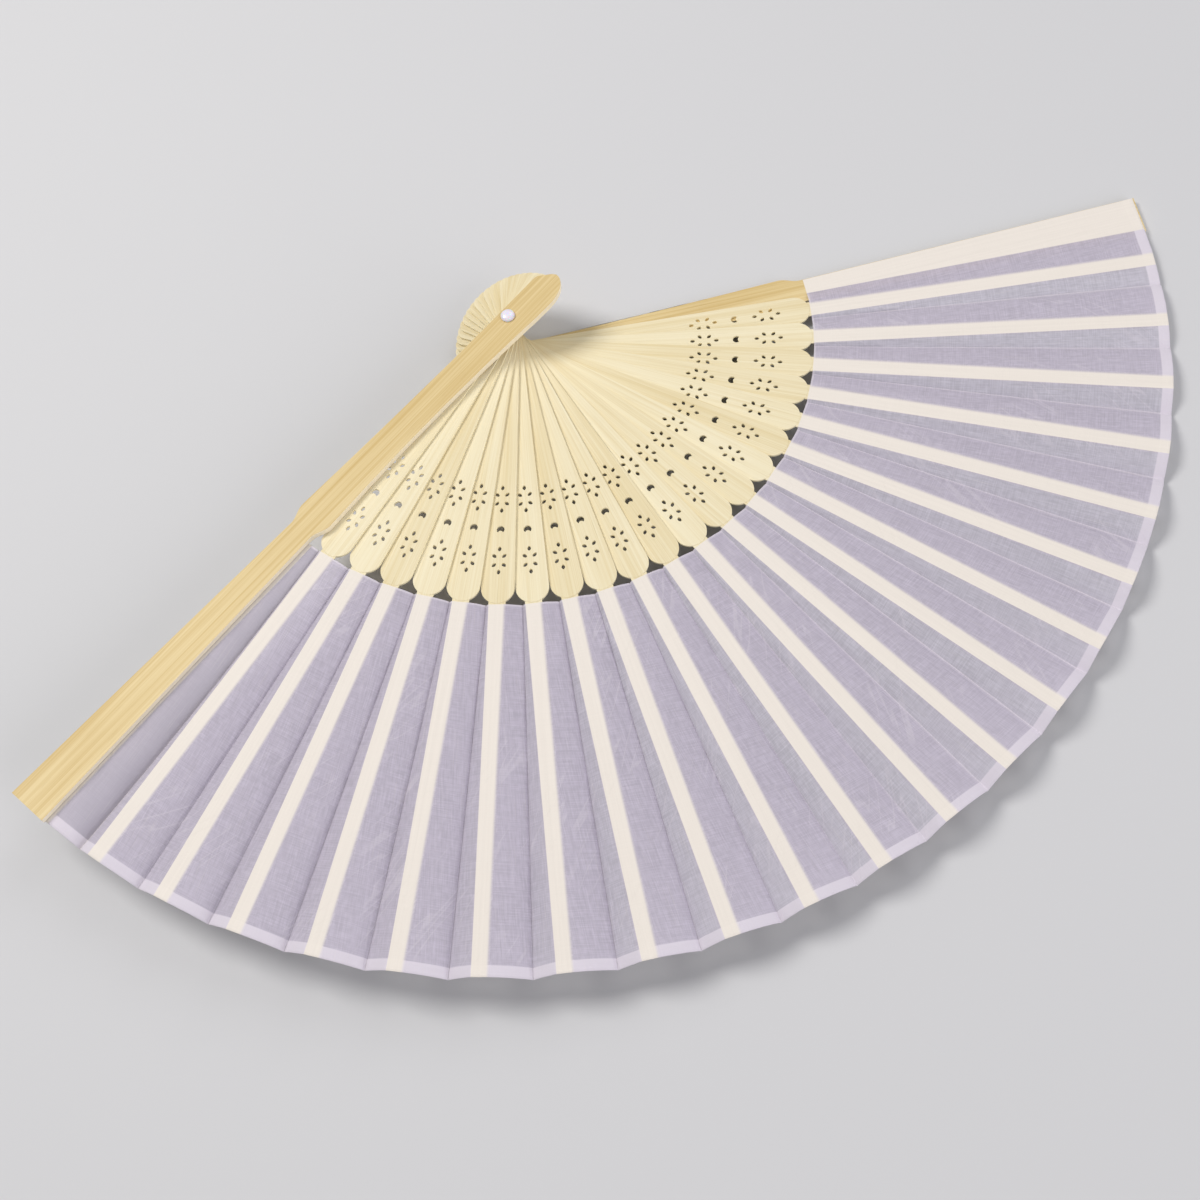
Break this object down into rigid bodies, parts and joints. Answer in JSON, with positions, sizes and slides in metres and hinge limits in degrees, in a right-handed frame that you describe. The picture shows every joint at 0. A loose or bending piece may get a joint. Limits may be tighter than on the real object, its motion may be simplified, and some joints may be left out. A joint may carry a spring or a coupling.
{
  "type": "folding hand fan",
  "caption": "Folding hand fan with pierced pale wooden sticks, two plain guards and a pleated translucent cloth leaf, turning on one rivet.",
  "frame": {"origin": "the rivet's axis at the outer face of the back guard, which lies on the table", "axes": "+Z along the rivet towards the front guard, -Y along the middle of the open fan, +X towards the back guard's side"},
  "size_m": [0.3728, 0.2133, 0.0236],
  "materials": {
    "guard_wood": "satin",
    "stick_wood": "satin",
    "leaf_cloth": "thin translucent weave",
    "rivet_plastic": "glossy"
  },
  "bodies": {
    "back_guard": {"back_guard": "guard_wood", "rivet_pin": "rivet_plastic", "rivet_button": "rivet_plastic", "leaf_pleat_01": "leaf_cloth"},
    "stick_01": {"stick_01": "stick_wood", "leaf_pleat_02": "leaf_cloth"},
    "stick_02": {"stick_02": "stick_wood", "leaf_pleat_03": "leaf_cloth"},
    "stick_03": {"stick_03": "stick_wood", "leaf_pleat_04": "leaf_cloth"},
    "stick_04": {"stick_04": "stick_wood", "leaf_pleat_05": "leaf_cloth"},
    "stick_05": {"stick_05": "stick_wood", "leaf_pleat_06": "leaf_cloth"},
    "stick_06": {"stick_06": "stick_wood", "leaf_pleat_07": "leaf_cloth"},
    "stick_07": {"stick_07": "stick_wood", "leaf_pleat_08": "leaf_cloth"},
    "stick_08": {"stick_08": "stick_wood", "leaf_pleat_09": "leaf_cloth"},
    "stick_09": {"stick_09": "stick_wood", "leaf_pleat_10": "leaf_cloth"},
    "stick_10": {"stick_10": "stick_wood", "leaf_pleat_11": "leaf_cloth"},
    "stick_11": {"stick_11": "stick_wood", "leaf_pleat_12": "leaf_cloth"},
    "stick_12": {"stick_12": "stick_wood", "leaf_pleat_13": "leaf_cloth"},
    "stick_13": {"stick_13": "stick_wood", "leaf_pleat_14": "leaf_cloth"},
    "stick_14": {"stick_14": "stick_wood", "leaf_pleat_15": "leaf_cloth"},
    "stick_15": {"stick_15": "stick_wood", "leaf_pleat_16": "leaf_cloth"},
    "stick_16": {"stick_16": "stick_wood", "leaf_pleat_17": "leaf_cloth"},
    "stick_17": {"stick_17": "stick_wood", "leaf_pleat_18": "leaf_cloth"},
    "stick_18": {"stick_18": "stick_wood", "leaf_pleat_19": "leaf_cloth"},
    "stick_19": {"stick_19": "stick_wood", "leaf_pleat_20": "leaf_cloth"},
    "stick_20": {"stick_20": "stick_wood", "leaf_pleat_21": "leaf_cloth"},
    "stick_21": {"stick_21": "stick_wood", "leaf_pleat_22": "leaf_cloth"},
    "front_guard": {"front_guard": "guard_wood", "leaf_end_tab": "leaf_cloth"}
  },
  "joints": [
    {"name": "open_01", "type": "hinge", "parent": "back_guard", "child": "stick_01", "pos_m": [0, 0, 0], "axis": [0, 0, 1], "range_deg": [0, 5.1], "deforming": ["leaf_pleat_01"]},
    {"name": "open_02", "type": "hinge", "parent": "stick_01", "child": "stick_02", "pos_m": [0, 0, 0], "axis": [0, 0, 1], "range_deg": [0, 6.5], "deforming": ["leaf_pleat_02"]},
    {"name": "open_03", "type": "hinge", "parent": "stick_02", "child": "stick_03", "pos_m": [0, 0, 0], "axis": [0, 0, 1], "range_deg": [0, 6.5], "deforming": ["leaf_pleat_03"]},
    {"name": "open_04", "type": "hinge", "parent": "stick_03", "child": "stick_04", "pos_m": [0, 0, 0], "axis": [0, 0, 1], "range_deg": [0, 6.5], "deforming": ["leaf_pleat_04"]},
    {"name": "open_05", "type": "hinge", "parent": "stick_04", "child": "stick_05", "pos_m": [0, 0, 0], "axis": [0, 0, 1], "range_deg": [0, 6.5], "deforming": ["leaf_pleat_05"]},
    {"name": "open_06", "type": "hinge", "parent": "stick_05", "child": "stick_06", "pos_m": [0, 0, 0], "axis": [0, 0, 1], "range_deg": [0, 6.5], "deforming": ["leaf_pleat_06"]},
    {"name": "open_07", "type": "hinge", "parent": "stick_06", "child": "stick_07", "pos_m": [0, 0, 0], "axis": [0, 0, 1], "range_deg": [0, 6.5], "deforming": ["leaf_pleat_07"]},
    {"name": "open_08", "type": "hinge", "parent": "stick_07", "child": "stick_08", "pos_m": [0, 0, 0], "axis": [0, 0, 1], "range_deg": [0, 6.5], "deforming": ["leaf_pleat_08"]},
    {"name": "open_09", "type": "hinge", "parent": "stick_08", "child": "stick_09", "pos_m": [0, 0, 0], "axis": [0, 0, 1], "range_deg": [0, 6.5], "deforming": ["leaf_pleat_09"]},
    {"name": "open_10", "type": "hinge", "parent": "stick_09", "child": "stick_10", "pos_m": [0, 0, 0], "axis": [0, 0, 1], "range_deg": [0, 6.5], "deforming": ["leaf_pleat_10"]},
    {"name": "open_11", "type": "hinge", "parent": "stick_10", "child": "stick_11", "pos_m": [0, 0, 0], "axis": [0, 0, 1], "range_deg": [0, 6.5], "deforming": ["leaf_pleat_11"]},
    {"name": "open_12", "type": "hinge", "parent": "stick_11", "child": "stick_12", "pos_m": [0, 0, 0], "axis": [0, 0, 1], "range_deg": [0, 6.5], "deforming": ["leaf_pleat_12"]},
    {"name": "open_13", "type": "hinge", "parent": "stick_12", "child": "stick_13", "pos_m": [0, 0, 0], "axis": [0, 0, 1], "range_deg": [0, 6.5], "deforming": ["leaf_pleat_13"]},
    {"name": "open_14", "type": "hinge", "parent": "stick_13", "child": "stick_14", "pos_m": [0, 0, 0], "axis": [0, 0, 1], "range_deg": [0, 6.5], "deforming": ["leaf_pleat_14"]},
    {"name": "open_15", "type": "hinge", "parent": "stick_14", "child": "stick_15", "pos_m": [0, 0, 0], "axis": [0, 0, 1], "range_deg": [0, 6.5], "deforming": ["leaf_pleat_15"]},
    {"name": "open_16", "type": "hinge", "parent": "stick_15", "child": "stick_16", "pos_m": [0, 0, 0], "axis": [0, 0, 1], "range_deg": [0, 6.5], "deforming": ["leaf_pleat_16"]},
    {"name": "open_17", "type": "hinge", "parent": "stick_16", "child": "stick_17", "pos_m": [0, 0, 0], "axis": [0, 0, 1], "range_deg": [0, 6.5], "deforming": ["leaf_pleat_17"]},
    {"name": "open_18", "type": "hinge", "parent": "stick_17", "child": "stick_18", "pos_m": [0, 0, 0], "axis": [0, 0, 1], "range_deg": [0, 6.5], "deforming": ["leaf_pleat_18"]},
    {"name": "open_19", "type": "hinge", "parent": "stick_18", "child": "stick_19", "pos_m": [0, 0, 0], "axis": [0, 0, 1], "range_deg": [0, 6.5], "deforming": ["leaf_pleat_19"]},
    {"name": "open_20", "type": "hinge", "parent": "stick_19", "child": "stick_20", "pos_m": [0, 0, 0], "axis": [0, 0, 1], "range_deg": [0, 6.5], "deforming": ["leaf_pleat_20"]},
    {"name": "open_21", "type": "hinge", "parent": "stick_20", "child": "stick_21", "pos_m": [0, 0, 0], "axis": [0, 0, 1], "range_deg": [0, 6.5], "deforming": ["leaf_pleat_21"]},
    {"name": "open_22", "type": "hinge", "parent": "stick_21", "child": "front_guard", "pos_m": [0, 0, 0], "axis": [0, 0, 1], "range_deg": [0, 7], "deforming": ["leaf_pleat_22"]}
  ],
  "couplings": [
    {"joint": "open_02", "follows": "open_01", "ratio": 1.2745},
    {"joint": "open_03", "follows": "open_01", "ratio": 1.2745},
    {"joint": "open_04", "follows": "open_01", "ratio": 1.2745},
    {"joint": "open_05", "follows": "open_01", "ratio": 1.2745},
    {"joint": "open_06", "follows": "open_01", "ratio": 1.2745},
    {"joint": "open_07", "follows": "open_01", "ratio": 1.2745},
    {"joint": "open_08", "follows": "open_01", "ratio": 1.2745},
    {"joint": "open_09", "follows": "open_01", "ratio": 1.2745},
    {"joint": "open_10", "follows": "open_01", "ratio": 1.2745},
    {"joint": "open_11", "follows": "open_01", "ratio": 1.2745},
    {"joint": "open_12", "follows": "open_01", "ratio": 1.2745},
    {"joint": "open_13", "follows": "open_01", "ratio": 1.2745},
    {"joint": "open_14", "follows": "open_01", "ratio": 1.2745},
    {"joint": "open_15", "follows": "open_01", "ratio": 1.2745},
    {"joint": "open_16", "follows": "open_01", "ratio": 1.2745},
    {"joint": "open_17", "follows": "open_01", "ratio": 1.2745},
    {"joint": "open_18", "follows": "open_01", "ratio": 1.2745},
    {"joint": "open_19", "follows": "open_01", "ratio": 1.2745},
    {"joint": "open_20", "follows": "open_01", "ratio": 1.2745},
    {"joint": "open_21", "follows": "open_01", "ratio": 1.2745},
    {"joint": "open_22", "follows": "open_01", "ratio": 1.3725}
  ]
}
